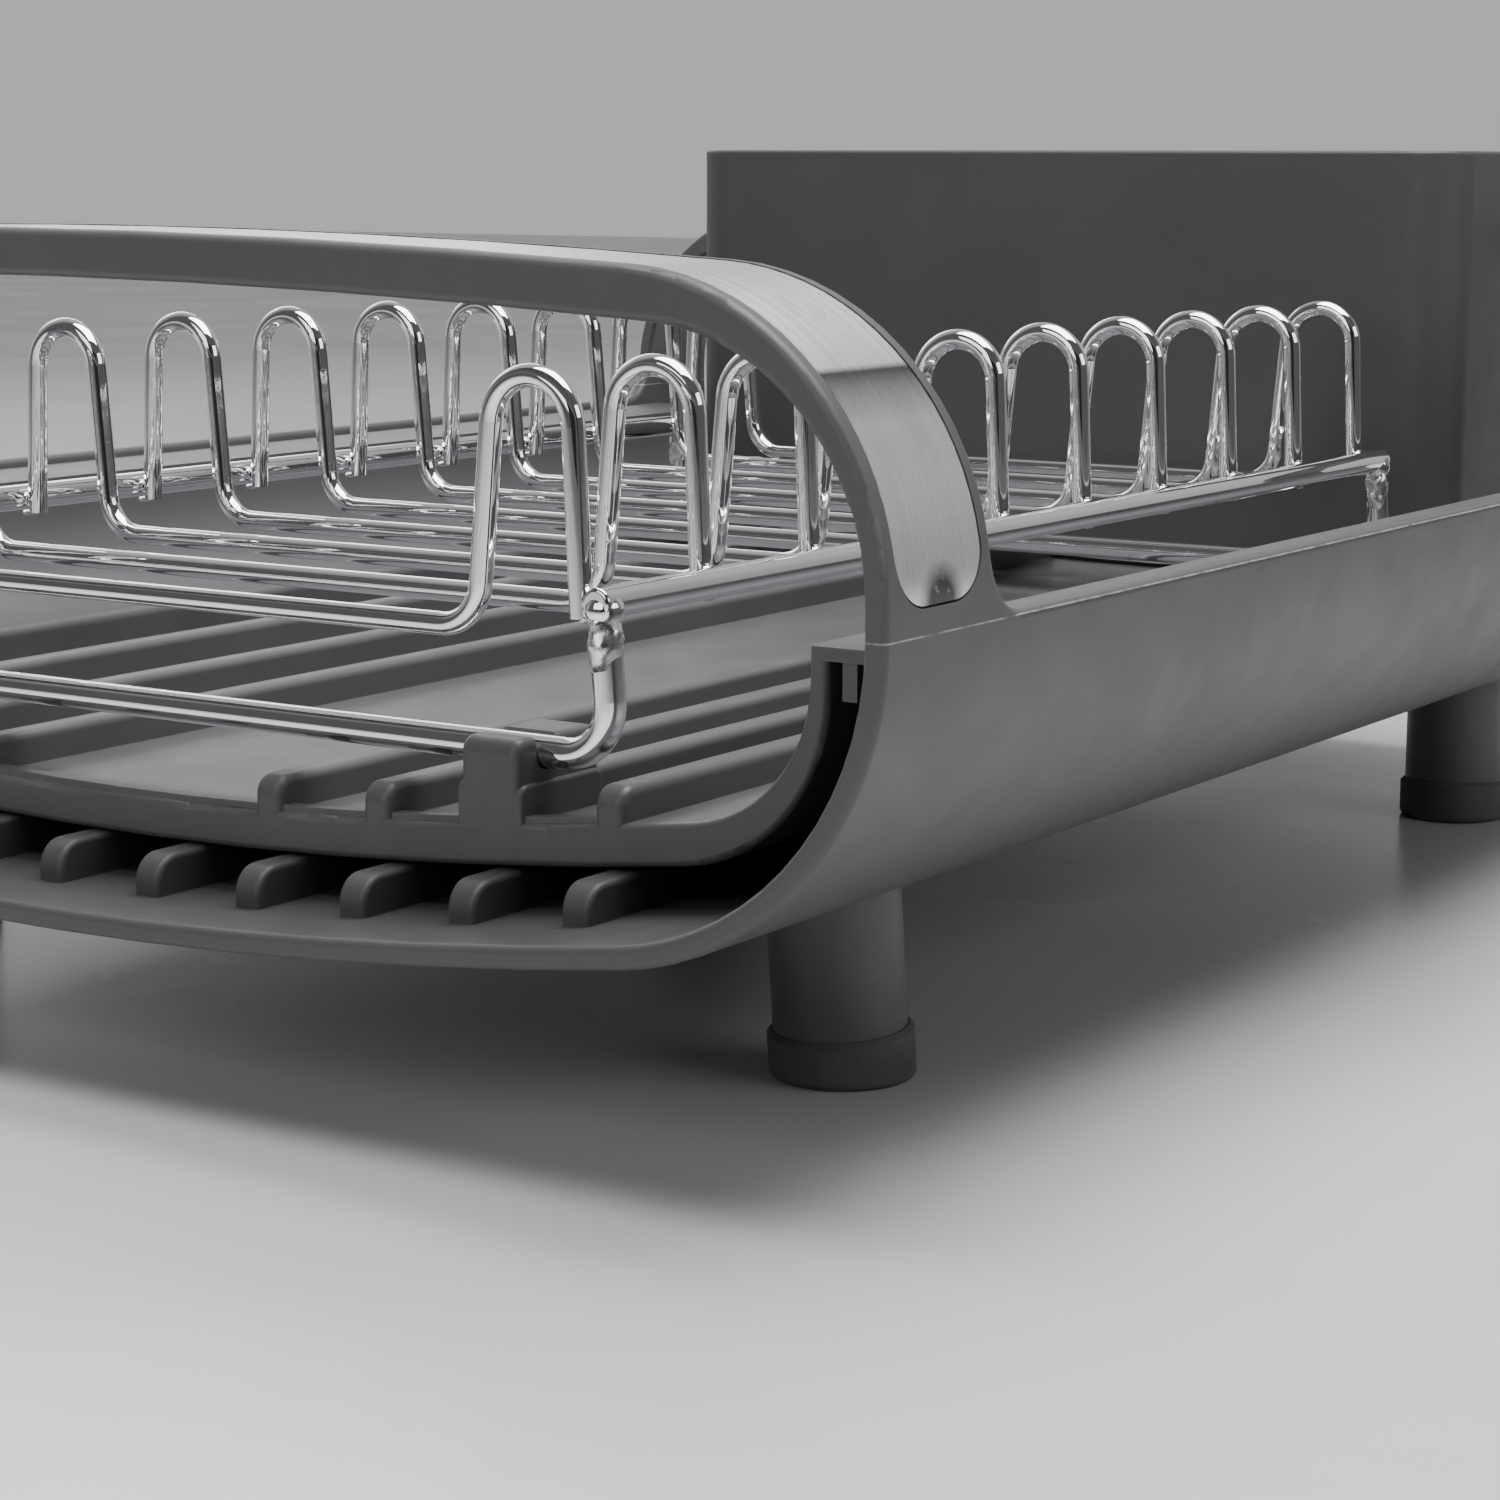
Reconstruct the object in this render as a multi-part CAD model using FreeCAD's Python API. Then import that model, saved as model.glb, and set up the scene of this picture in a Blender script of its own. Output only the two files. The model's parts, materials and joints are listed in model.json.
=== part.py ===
import FreeCAD, Part
import math
import os
from FreeCAD import Vector as V

# Dish drying rack, built in millimetres.  +X runs along the length, +Y to the back, +Z up.
# The origin is on the worktop under the middle of the rack.

# ---------------------------------------------------------------- driving dimensions
# outer shell: a trough whose two ends rise into hoop handles
SHELL_LENGTH = 537.0
SHELL_WIDTH = 401.0
GROUND_CLEARANCE = 34.0        # worktop to the underside of the trough
SHELL_WALL = 4.5
BOTTOM_CROWN_RADIUS = 1050.0
BOTTOM_CORNER_RADIUS = 62.0
SIDE_STRAIGHT = 5.0            # short upright stretch the front rim is cut through
RIM_ABOVE_CORNER = 0.8         # front rim above the end of the bottom corner arc
BACK_RIM_DROP = 5.0            # the back rim is lower than the front one
HOOP_RISE = 59.1               # hoop top above the upright stretch
HOOP_CORNER_RADIUS = 55.0
HOOP_INNER_CORNER_RADIUS = 45.5
HOOP_THICKNESS = 9.0           # at the top of the hoop; it thins to the wall at its feet
HANDLE_WIDTH = 36.0            # width of the hoop along X
HANDLE_ROOT_RADIUS = 11.5      # sweep from the hoop down into the rim
SHELL_EDGE_RADIUS = 1.6

# brushed strip let into the outside of each handle
INSERT_WIDTH = 28.0
INSERT_THICKNESS = 1.0
INSERT_POCKET_DEPTH = 1.2
INSERT_GAP = 0.4
INSERT_END_ABOVE_RIM = 4.2
INSERT_END_RADIUS = 9.0

# low ribs on the trough floor that carry the drainboard
TROUGH_RIB_MARGIN = 69.0       # last rib to the outside of the shell
TROUGH_RIB_SIDE_COUNT = 5      # ribs each side of the middle one
TROUGH_RIB_WIDTH = 6.5
TROUGH_RIB_SETBACK = 18.0      # rib end back from the mouth of the trough
TROUGH_RIB_ROUNDING = 1.2
TROUGH_RIB_OFFSET = 6.5        # the whole set stands this far towards the back
TROUGH_RIB_END_FLAT = 2.5      # upright stretch below the rounded rib end
RIB_ROOT = 1.5                 # how far the ribs run into the floor they stand on

# drainboard
BOARD_END_INSET = 31.5         # board end back from the mouth of the trough
BOARD_SIDE_SPACE = 30.5        # upright side wall to the outside of the shell
BOARD_SIDE_WALL = 4.0
BOARD_FLOOR_DEPTH = 8.2        # floor surface to the bottom of the end rims
BOARD_FLOOR_WALL = 3.5
BOARD_CROWN_RADIUS = 1052.0
BOARD_CORNER_RADIUS = 35.0
BOARD_TOP_BELOW_RIM = 7.3
BOARD_EDGE_RADIUS = 1.4
FLANGE_THICKNESS = 2.5
BOARD_SIDE_GAP = 1.0           # flange edge to the shell wall
BOARD_REST_GAP = 0.3
BOARD_RIB_HEIGHT = 7.0
BOARD_RIB_WIDTH = 6.8
BOARD_RIB_INNER_Y = 40.0       # first rib beside the open middle channel
BOARD_RIB_MARGIN = 47.2        # last rib to the outside of the side wall
BOARD_RIB_END_RADIUS = 4.0
BOARD_RIB_ROUNDING = 1.9
BOARD_RIB_COUNT = 4            # ribs in each side group
BOARD_LIP_HEIGHT = 1.2
BOARD_LIP_WIDTH = 3.0
BOARD_LIP_SETBACK = 1.2        # lip back from the end of the board
CRADLE_RIB_INDEX = 2           # the rib of each group that swells into a cradle
CRADLE_WIDTH = 13.5
CRADLE_HEIGHT = 28.8           # from the underside of the board to the top of the cradle
CRADLE_BEHIND_WIRE = 17.0
CRADLE_STEP = 8.5              # the wider foot stops this far below the top
CRADLE_FOOT_EXTRA = 1.8
CRADLE_GAP = 0.35
CRADLE_ROUNDING = 3.0          # at the ends of the cradle's top
CRADLE_EDGE_RADIUS = 1.6
CRADLE_FOOT_ROUNDING = 2.4
CRADLE_FOOT_EDGE_RADIUS = 0.9
CLIP_DEPTH = 7.0
CLIP_LENGTH = 5.0
CLIP_WIDTH = 3.0
CLIP_OFFSET = 2.5              # side wall to the clip
POCKET_END_RIM = 4.0           # solid rim left at each end of the hollow underside

# wire rack
PLATE_WIRE_D = 4.6
FRAME_WIRE_D = 6.2
PLATE_WIRE_COUNT = 10
RACK_END_GAP = 5.0             # middle of the first wire to the handle's inner edge
RACK_SIDE_SPACE = 59.8         # outer wire leg to the outside of the board's side wall
RAIL_BELOW_CORNER = 3.8        # side rail below the end of the shell's bottom corner arc
LEG_END_DROP = 3.3             # wire leg ends this far below the rail's middle
LOOP_TOP_ABOVE_RAIL = 41.3
LOOP_RADIUS = 9.6
LOOP_OUTER_SPLAY = 2.7         # degrees
LOOP_INNER_SPLAY = 5.0
CROSS_DROP = 6.8               # cross run below the rail's middle
CROSS_BEND_RADIUS = 9.5
END_WIRE_DROP = 29.2           # lower end rail below the side rail
END_WIRE_BEND_RADIUS = 10.0
END_WIRE_SPLAY = 2.0
FAR_END_WIRE_SHIFT = 3.0
WELD_RADIUS = 3.9
WELD_DROP = 1.5
WELD_OVERLAP = 0.2             # plate wires run this far into the side rails
RAIL_END_RADIUS = 0.8

# utensil caddy
CADDY_GAP_TO_RACK = 18.0
CADDY_DEPTH = 62.0
CADDY_END_GAP = 13.9           # caddy to the inner edge of the right handle
CADDY_SIDE_SPACE = 43.0        # caddy end to the outside of the board's side wall
CADDY_ABOVE_HOOP = 16.1
CADDY_WALL = 2.6
CADDY_CORNER_RADIUS = 14.0
CADDY_BASE_RADIUS = 2.5
CADDY_RIM_RADIUS = 1.0
CADDY_HOLE_D = 6.0
CADDY_HOLE_PITCH = 22.0
CADDY_REST_GAP = 0.3

# legs and their caps
LEG_INSET_X = 103.0            # foot centre to the end of the shell
LEG_INSET_Y = 70.5             # foot centre to the side of the shell
LEG_D = 27.5
LEG_START = 40.0               # leg is drawn this far up into the trough and trimmed to it
LEG_LEAN_X = 3.7               # degrees, feet drawn in along the length
LEG_LEAN_Y = 1.7               # degrees, feet spread across the width
CAP_WALL = 1.25                # cap over the leg it fits
CAP_HEIGHT = 10.5
CAP_SOLE = 3.0
CAP_TOP_CHAMFER = 0.9
CAP_SOLE_RADIUS = 1.6

# ---------------------------------------------------------------- values that follow
HALF_L = SHELL_LENGTH / 2
HALF_W = SHELL_WIDTH / 2
SIDE_LOW = GROUND_CLEARANCE + BOTTOM_CROWN_RADIUS - math.sqrt(
    (BOTTOM_CROWN_RADIUS - BOTTOM_CORNER_RADIUS) ** 2 - (HALF_W - BOTTOM_CORNER_RADIUS) ** 2)
SIDE_HIGH = SIDE_LOW + SIDE_STRAIGHT
RIM_Z = SIDE_LOW + RIM_ABOVE_CORNER
BACK_RIM_Z = RIM_Z - BACK_RIM_DROP
HOOP_TOP = SIDE_HIGH + HOOP_RISE
HANDLE_INNER_X = HALF_L - HANDLE_WIDTH
HANDLE_MID_X = HALF_L - HANDLE_WIDTH / 2
INNER_HALF_W = HALF_W - SHELL_WALL
TROUGH_RIB_PITCH = (HALF_W - TROUGH_RIB_MARGIN) / TROUGH_RIB_SIDE_COUNT
LEG_X = HALF_L - LEG_INSET_X
CAP_D = LEG_D + 2 * CAP_WALL
LEG_Y = HALF_W - LEG_INSET_Y

BOARD_HALF_L = HALF_L - BOARD_END_INSET
BOARD_HALF_W = HALF_W - BOARD_SIDE_SPACE
BOARD_RIB_PITCH = (BOARD_HALF_W - BOARD_RIB_MARGIN - BOARD_RIB_INNER_Y) / (BOARD_RIB_COUNT - 1)
BOARD_TOP = RIM_Z - BOARD_TOP_BELOW_RIM
FLANGE_HALF_W = INNER_HALF_W - BOARD_SIDE_GAP

PLATE_R = PLATE_WIRE_D / 2
FRAME_R = FRAME_WIRE_D / 2
RACK_HALF_W = BOARD_HALF_W - RACK_SIDE_SPACE
CADDY_X0 = HANDLE_INNER_X - CADDY_END_GAP - CADDY_DEPTH
CADDY_HALF_W = BOARD_HALF_W - CADDY_SIDE_SPACE
CADDY_TOP = HOOP_TOP + CADDY_ABOVE_HOOP
FIRST_WIRE_X = -HANDLE_INNER_X + RACK_END_GAP
LAST_WIRE_X = CADDY_X0 - CADDY_GAP_TO_RACK - FRAME_R - FAR_END_WIRE_SHIFT
PLATE_PITCH = (LAST_WIRE_X - FIRST_WIRE_X) / (PLATE_WIRE_COUNT - 1)
RAIL_HEIGHT = SIDE_LOW - RAIL_BELOW_CORNER
END_WIRE_X = (FIRST_WIRE_X, LAST_WIRE_X + FAR_END_WIRE_SHIFT)
RAIL_Y = RACK_HALF_W + PLATE_R + FRAME_R - WELD_OVERLAP
LOWER_RAIL_Z = RAIL_HEIGHT - END_WIRE_DROP
# the lower end rails sit with their tops level with the cradles
CRADLE_TOP = LOWER_RAIL_Z + FRAME_R
BOARD_BOTTOM = CRADLE_TOP - CRADLE_HEIGHT
BOARD_FLOOR = BOARD_BOTTOM + BOARD_FLOOR_DEPTH
BOARD_FLOOR_RADIUS = BOARD_CROWN_RADIUS - BOARD_FLOOR_DEPTH
BOARD_FLOOR_CORNER = BOARD_CORNER_RADIUS - (BOARD_FLOOR_DEPTH + BOARD_SIDE_WALL) / 2

CRADLE_BEYOND_WIRE = BOARD_HALF_L + END_WIRE_X[0]


# ---------------------------------------------------------------- helpers
def crown(radius, y):
    """Rise of a shallow arc of this radius at distance y from its lowest point."""
    return radius - math.sqrt(radius * radius - y * y)


def arc3(p, q, r):
    return Part.Arc(p, q, r).toShape()


def seg(p, q):
    return Part.LineSegment(p, q).toShape()


def corner_join(half_w, crown_r, corner_r):
    """Where a crown arc about the Z axis runs into a corner arc: (corner centre y, join y, join dz)."""
    cy = half_w - corner_r
    run = crown_r - corner_r
    join_y = cy * crown_r / run
    return cy, join_y, crown(crown_r, join_y)


def crown_for(half_w, corner_r, rise):
    """Radius of the crown that joins two corner arcs and tops out at this rise above their ends."""
    return ((half_w - corner_r) ** 2 + rise ** 2 - corner_r ** 2) / (2 * (rise - corner_r))


def hoop_curve(w, inset, inside):
    """Corner radius, crown radius and top of the outer hoop surface, or of the opening in it."""
    if inside:
        top, corner = HOOP_TOP - HOOP_THICKNESS, HOOP_INNER_CORNER_RADIUS
    else:
        top, corner = HOOP_TOP - inset, HOOP_CORNER_RADIUS - inset
    return corner, crown_for(w, corner, top - SIDE_HIGH), top


def shell_profile(x, inset, inside=False):
    """Closed cross-section of trough and hoop, drawn in the plane X = x, shrunk by inset."""
    w = HALF_W - inset
    rb, rc = BOTTOM_CROWN_RADIUS - inset, BOTTOM_CORNER_RADIUS - inset
    zb = GROUND_CLEARANCE + inset
    rh, rt, zt = hoop_curve(w, inset, inside)
    edges = []
    cy, jy, jz = corner_join(w, rb, rc)
    hy, ky, kz = corner_join(w, rt, rh)
    a = math.atan2(w - rc, rb - rc) / 2 + math.radians(45)
    b = math.atan2(w - rh, rt - rh) / 2 + math.radians(45)
    low = V(x, cy + rc * math.sin(a), SIDE_LOW - rc * math.cos(a))
    high = V(x, hy + rh * math.sin(b), SIDE_HIGH + rh * math.cos(b))
    jl, jr = V(x, -jy, zb + jz), V(x, jy, zb + jz)
    kl, kr = V(x, -ky, zt - kz), V(x, ky, zt - kz)
    edges.append(arc3(jl, V(x, 0, zb), jr))
    edges.append(arc3(jr, low, V(x, w, SIDE_LOW)))
    edges.append(seg(V(x, w, SIDE_LOW), V(x, w, SIDE_HIGH)))
    edges.append(arc3(V(x, w, SIDE_HIGH), high, kr))
    edges.append(arc3(kr, V(x, 0, zt), kl))
    edges.append(arc3(kl, V(x, -high.y, high.z), V(x, -w, SIDE_HIGH)))
    edges.append(seg(V(x, -w, SIDE_HIGH), V(x, -w, SIDE_LOW)))
    edges.append(arc3(V(x, -w, SIDE_LOW), V(x, -low.y, low.z), jl))
    return Part.Wire(edges)


def shell_block(inset, x0, x1, inside=False):
    return Part.Face(shell_profile(x0, inset, inside)).extrude(V(x1 - x0, 0, 0))


def tray_profile(x, half_w, floor_z, crown_r, corner_r, top_z):
    """Open-topped tray section closed by a straight top, in the plane X = x."""
    cy, jy, jz = corner_join(half_w, crown_r, corner_r)
    side_z = floor_z + crown_r - math.sqrt((crown_r - corner_r) ** 2 - cy ** 2)
    a = math.atan2(cy, crown_r - corner_r) / 2 + math.radians(45)
    mid = V(x, cy + corner_r * math.sin(a), side_z - corner_r * math.cos(a))
    jl, jr = V(x, -jy, floor_z + jz), V(x, jy, floor_z + jz)
    edges = [arc3(jl, V(x, 0, floor_z), jr),
             arc3(jr, mid, V(x, half_w, side_z)),
             seg(V(x, half_w, side_z), V(x, half_w, top_z)),
             seg(V(x, half_w, top_z), V(x, -half_w, top_z)),
             seg(V(x, -half_w, top_z), V(x, -half_w, side_z)),
             arc3(V(x, -half_w, side_z), V(x, -mid.y, mid.z), jl)]
    return Part.Wire(edges)


def box(x0, x1, y0, y1, z0, z1):
    return Part.makeBox(x1 - x0, y1 - y0, z1 - z0, V(x0, y0, z0))


def rounded_low_box(x0, x1, y0, y1, z0, z1, radius):
    """Block across the width whose two lower long edges are rounded."""
    r = radius
    s = r * math.sin(math.radians(45))
    pts = [V(x0, y0, z1), V(x0, y0, z0 + r), V(x0 + r, y0, z0),
           V(x1 - r, y0, z0), V(x1, y0, z0 + r), V(x1, y0, z1)]
    edges = [seg(pts[0], pts[1]),
             arc3(pts[1], V(x0 + r - s, y0, z0 + r - s), pts[2]),
             seg(pts[2], pts[3]),
             arc3(pts[3], V(x1 - r + s, y0, z0 + r - s), pts[4]),
             seg(pts[4], pts[5]), seg(pts[5], pts[0])]
    return Part.Face(Part.Wire(edges)).extrude(V(0, y1 - y0, 0))


def rib_block(x0, x1, z_low, z_top, y_mid, width, round_r, edge_r):
    """Bar along X with rounded ends and rounded top edges, centred on y_mid."""
    s = round_r * math.sin(math.radians(45))
    y0 = y_mid - width / 2
    p = [V(x0, y0, z_low), V(x0, y0, z_top - round_r), V(x0 + round_r, y0, z_top),
         V(x1 - round_r, y0, z_top), V(x1, y0, z_top - round_r), V(x1, y0, z_low)]
    edges = [seg(p[0], p[1]),
             arc3(p[1], V(x0 + round_r - s, y0, z_top - round_r + s), p[2]),
             seg(p[2], p[3]),
             arc3(p[3], V(x1 - round_r + s, y0, z_top - round_r + s), p[4]),
             seg(p[4], p[5]), seg(p[5], p[0])]
    bar = Part.Face(Part.Wire(edges)).extrude(V(0, width, 0))
    rim = [e for e in bar.Edges
           if e.BoundBox.YLength < 1e-6 and e.BoundBox.ZMin > z_low + 1e-6
           or e.BoundBox.YLength < 1e-6 and e.BoundBox.XLength < 1e-6]
    return bar.makeFillet(edge_r, rim)


def bent_wire(points, radii, r):
    """Round wire through corner points, each inner corner eased to its bend radius."""
    edges, start = [], points[0]
    for i in range(1, len(points) - 1):
        a, b, c = points[i - 1], points[i], points[i + 1]
        u, w = (a - b).normalize(), (c - b).normalize()
        half = u.getAngle(w) / 2
        t = radii[i - 1] / math.tan(half)
        p, q = b + u * t, b + w * t
        centre = b + (u + w).normalize() * (radii[i - 1] / math.sin(half))
        mid = centre + (b - centre).normalize() * radii[i - 1]
        edges += [seg(start, p), arc3(p, mid, q)]
        start = q
    edges.append(seg(start, points[-1]))
    return sweep(edges, points[0], points[1] - points[0], r)


def sweep(edges, start, direction, r):
    ring = Part.Wire([Part.Circle(start, direction, r).toShape()])
    return Part.Wire(edges).makePipeShell([ring], True, True)


def solid(shape):
    """The one solid of a boolean result, with seams merged."""
    shape = shape.removeSplitter()
    return shape.Solids[0] if len(shape.Solids) == 1 else shape


def save(name, shape):
    if not shape.isValid() or len(shape.Solids) != 1:
        raise ValueError("%s: valid %s, solids %d" % (name, shape.isValid(), len(shape.Solids)))
    shape.exportStep("parts/%s.step" % name)
    print(name, round(shape.Volume / 1000, 1), "cm3")


# ---------------------------------------------------------------- shell and handles
def handle_band(end, pocket):
    """Curved band on the outside of one handle: the pocket, or the strip that fills it."""
    grow = INSERT_GAP if pocket else 0.0
    outer = -1.0 if pocket else INSERT_POCKET_DEPTH - INSERT_THICKNESS
    half = INSERT_WIDTH / 2 + grow
    x0, x1 = sorted((end * (HANDLE_MID_X - half), end * (HANDLE_MID_X + half)))
    ring = shell_block(outer, x0, x1).cut(shell_block(INSERT_POCKET_DEPTH, x0, x1))
    mask = rounded_low_box(x0, x1, -HALF_W - 5, HALF_W + 5, RIM_Z + INSERT_END_ABOVE_RIM - grow,
                           HOOP_TOP + 5, INSERT_END_RADIUS + grow)
    return solid(ring.common(mask))


def trough_ribs():
    ribs = []
    x = HALF_L - TROUGH_RIB_SETBACK
    for i in range(-TROUGH_RIB_SIDE_COUNT, TROUGH_RIB_SIDE_COUNT + 1):
        y = i * TROUGH_RIB_PITCH + TROUGH_RIB_OFFSET
        near = max(0.0, abs(y) - TROUGH_RIB_WIDTH / 2)
        top = BOARD_BOTTOM + crown(BOARD_CROWN_RADIUS, near) - BOARD_REST_GAP
        floor = GROUND_CLEARANCE + SHELL_WALL + crown(BOTTOM_CROWN_RADIUS - SHELL_WALL, y)
        ribs.append(rib_block(-x, x, floor - RIB_ROOT, top, y, TROUGH_RIB_WIDTH,
                              top - floor - TROUGH_RIB_END_FLAT, TROUGH_RIB_ROUNDING))
    return ribs


def windows():
    """The two cuts that leave the rims between the handles, front and back."""
    reach = HALF_W + 10
    return [rounded_low_box(-HANDLE_INNER_X, HANDLE_INNER_X, y0, y1, z, HOOP_TOP + 10, HANDLE_ROOT_RADIUS)
            for y0, y1, z in ((-reach, 0, RIM_Z), (0, reach, BACK_RIM_Z))]


def outer_shell():
    body = shell_block(0, -HALF_L, HALF_L).cut(
        shell_block(SHELL_WALL, -HALF_L - 1, HALF_L + 1, inside=True))
    body = body.cut(windows())
    mouths = [e for e in body.Edges
              if e.BoundBox.XLength < 1e-6 and abs(abs(e.BoundBox.XMin) - HALF_L) < 1e-6]
    body = round_rims(body.makeFillet(SHELL_EDGE_RADIUS, mouths))
    for end in (-1, 1):
        body = body.cut(handle_band(end, True))
    return solid(body.fuse(trough_ribs()))


def round_rims(body):
    """Ease the long edges of the rim and the inner edges of the handles."""
    picked = []
    for e in body.Edges:
        b = e.BoundBox
        inside = max(abs(b.XMin), abs(b.XMax)) < HANDLE_INNER_X + 1e-3
        across = b.YLength > SHELL_WALL - 0.1 and b.YLength < SHELL_WALL + 0.1 and b.ZLength < 1e-3
        middle = max(abs(b.YMin), abs(b.YMax)) < 1e-3
        if inside and b.ZMin > BACK_RIM_Z - 1e-3 and not across and not middle:
            picked.append(e)
    return body.makeFillet(SHELL_EDGE_RADIUS, picked)


# ---------------------------------------------------------------- drainboard
def floor_at(y):
    return BOARD_FLOOR + crown(BOARD_FLOOR_RADIUS, abs(y))


def board_rib_ys():
    return [BOARD_RIB_INNER_Y + BOARD_RIB_PITCH * i for i in range(BOARD_RIB_COUNT)]


def cradle(end, y):
    """Swollen rib end with an upright slot that holds the lower end rail of the rack."""
    wire_x = END_WIRE_X[0] if end < 0 else END_WIRE_X[1]
    x0, x1 = sorted((wire_x + end * CRADLE_BEYOND_WIRE, wire_x - end * CRADLE_BEHIND_WIRE))
    base = floor_at(y) - RIB_ROOT
    tall = rib_block(x0, x1, base, CRADLE_TOP, y, CRADLE_WIDTH, CRADLE_ROUNDING, CRADLE_EDGE_RADIUS)
    foot = rib_block(x0, x1, base, CRADLE_TOP - CRADLE_STEP, y, CRADLE_WIDTH + CRADLE_FOOT_EXTRA,
                     CRADLE_FOOT_ROUNDING, CRADLE_FOOT_EDGE_RADIUS)
    return tall.fuse(foot)


def cradle_slot(wire_x):
    """Clearance for the straight of the lower end rail, open upwards."""
    r = FRAME_R + CRADLE_GAP
    reach = BOARD_HALF_W - BOARD_CORNER_RADIUS
    trough = Part.makeCylinder(r, 2 * reach, V(wire_x, -reach, LOWER_RAIL_Z), V(0, 1, 0))
    return trough.fuse(box(wire_x - r, wire_x + r, -reach, reach, LOWER_RAIL_Z, RIM_Z))


def board_flange(side):
    y0, y1 = sorted((side * (BOARD_HALF_W - 1.0), side * FLANGE_HALF_W))
    return box(-BOARD_HALF_L, BOARD_HALF_L, y0, y1, BOARD_TOP - FLANGE_THICKNESS, BOARD_TOP)


def board_clip(end, side):
    """Small hook under the flange at each corner."""
    x0, x1 = sorted((end * (BOARD_HALF_L - 1.0), end * (BOARD_HALF_L - 1.0 - CLIP_LENGTH)))
    y0, y1 = sorted((side * (BOARD_HALF_W + CLIP_OFFSET), side * (BOARD_HALF_W + CLIP_OFFSET + CLIP_WIDTH)))
    return box(x0, x1, y0, y1, BOARD_TOP - FLANGE_THICKNESS - CLIP_DEPTH, BOARD_TOP - 1.0)


def drainboard():
    outer = Part.Face(tray_profile(-BOARD_HALF_L, BOARD_HALF_W, BOARD_BOTTOM, BOARD_CROWN_RADIUS,
                                   BOARD_CORNER_RADIUS, BOARD_TOP)).extrude(V(2 * BOARD_HALF_L, 0, 0))
    inner = Part.Face(tray_profile(-BOARD_HALF_L - 1, BOARD_HALF_W - BOARD_SIDE_WALL, BOARD_FLOOR,
                                   BOARD_FLOOR_RADIUS, BOARD_FLOOR_CORNER, BOARD_TOP + 5)
                      ).extrude(V(2 * BOARD_HALF_L + 2, 0, 0))
    body = outer.cut(inner)
    body = body.makeFillet(BOARD_EDGE_RADIUS, [e for e in body.Edges if e.BoundBox.XLength < 1e-6
                                               and e.BoundBox.ZMin < BOARD_TOP - FLANGE_THICKNESS])
    body = body.cut(underside_pocket())
    adds = []
    for side in (-1, 1):
        adds.append(board_flange(side))
        for end in (-1, 1):
            adds.append(board_clip(end, side))
        for i, y in enumerate(board_rib_ys()):
            top = floor_at(y) + BOARD_RIB_HEIGHT
            adds.append(rib_block(-BOARD_HALF_L, BOARD_HALF_L, floor_at(y) - RIB_ROOT, top, side * y,
                                  BOARD_RIB_WIDTH, BOARD_RIB_END_RADIUS, BOARD_RIB_ROUNDING))
            if i == CRADLE_RIB_INDEX:
                adds += [cradle(-1, side * y), cradle(1, side * y)]
    body = body.fuse(adds + end_lips())
    return solid(body.cut([cradle_slot(x) for x in END_WIRE_X]))


def end_lips():
    """Low raised edge across each end of the floor, following its curve."""
    reach = board_rib_ys()[-1]
    def tray(rise):
        wire = tray_profile(0, BOARD_HALF_W - BOARD_SIDE_WALL, BOARD_FLOOR + rise,
                            BOARD_FLOOR_RADIUS - rise, BOARD_FLOOR_CORNER, BOARD_TOP)
        return Part.Face(wire).extrude(V(BOARD_LIP_WIDTH, 0, 0))
    strip = tray(-RIB_ROOT).cut(tray(BOARD_LIP_HEIGHT)).common(
        box(0, BOARD_LIP_WIDTH, -reach, reach, 0, BOARD_TOP))
    lips = []
    for end in (-1, 1):
        lip = strip.copy()
        lip.translate(V(min(end * (BOARD_HALF_L - BOARD_LIP_SETBACK),
                            end * (BOARD_HALF_L - BOARD_LIP_SETBACK - BOARD_LIP_WIDTH)), 0, 0))
        lips.append(lip)
    return lips


def underside_pocket():
    """Hollow under the floor, leaving a full-depth rim at both ends."""
    reach = board_rib_ys()[-1] + 4.0
    x0 = -BOARD_HALF_L + POCKET_END_RIM
    low = BOARD_BOTTOM - 1.0
    high = BOARD_FLOOR - BOARD_FLOOR_WALL
    def at(z, r, y):
        return V(x0, y, z + crown(r, y))
    edges = [arc3(at(low, BOARD_CROWN_RADIUS, -reach), at(low, BOARD_CROWN_RADIUS, 0),
                  at(low, BOARD_CROWN_RADIUS, reach)),
             seg(at(low, BOARD_CROWN_RADIUS, reach), at(high, BOARD_FLOOR_RADIUS, reach)),
             arc3(at(high, BOARD_FLOOR_RADIUS, reach), at(high, BOARD_FLOOR_RADIUS, 0),
                  at(high, BOARD_FLOOR_RADIUS, -reach)),
             seg(at(high, BOARD_FLOOR_RADIUS, -reach), at(low, BOARD_CROWN_RADIUS, -reach))]
    return Part.Face(Part.Wire(edges)).extrude(V(2 * (BOARD_HALF_L - POCKET_END_RIM), 0, 0))


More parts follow.
